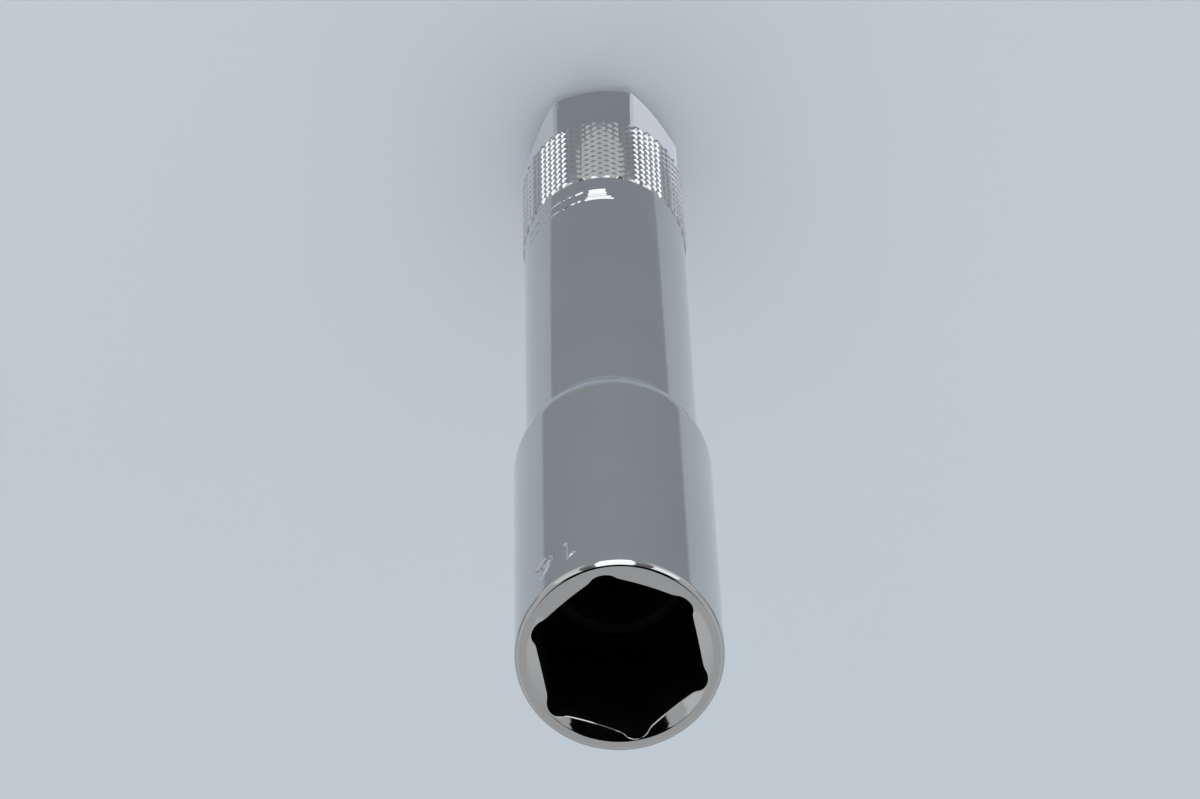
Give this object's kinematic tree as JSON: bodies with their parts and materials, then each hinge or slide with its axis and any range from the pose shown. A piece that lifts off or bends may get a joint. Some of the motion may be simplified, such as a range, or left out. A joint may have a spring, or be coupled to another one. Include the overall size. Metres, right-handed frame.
{
  "type": "spark plug socket",
  "caption": "Long spark plug socket: hexagonal opening with a rubber insert, stepped round barrel, knurled grip band and hexagonal drive end with a square hole.",
  "frame": {"origin": "centre of the drive-end face, on which the socket stands", "axes": "+Z along the socket's axis, from the drive end to the plug opening; a corner of the drive hexagon lies on +X"},
  "size_m": [0.0212, 0.0212, 0.141],
  "materials": {
    "plated_steel": "polished chrome plate on forged steel, with a matt dark hexagon inside",
    "black_rubber": "smooth moulded black rubber"
  },
  "bodies": {
    "root": {"socket_body": "plated_steel", "rubber_insert": "black_rubber"}
  },
  "joints": []
}
